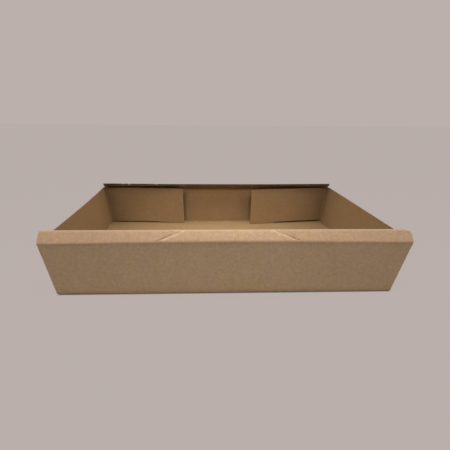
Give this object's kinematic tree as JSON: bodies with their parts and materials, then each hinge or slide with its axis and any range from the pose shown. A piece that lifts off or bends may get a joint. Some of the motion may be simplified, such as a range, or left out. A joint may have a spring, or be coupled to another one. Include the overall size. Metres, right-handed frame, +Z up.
{
  "type": "open cardboard tray",
  "caption": "Open kraft corrugated board tray with flared walls, rising inward rims on the long walls and folded corner flaps, for carrying or displaying cakes and other goods.",
  "frame": {"origin": "centre of the base's underside, on the surface that the tray stands on", "axes": "+Z up, +X along the rimmed front and back walls, -Y towards the front wall"},
  "size_m": [0.384, 0.3235, 0.0711],
  "materials": {
    "kraft_board": "uncoated brown kraft paper, matt"
  },
  "bodies": {
    "root": {"tray": "kraft_board"}
  },
  "joints": []
}
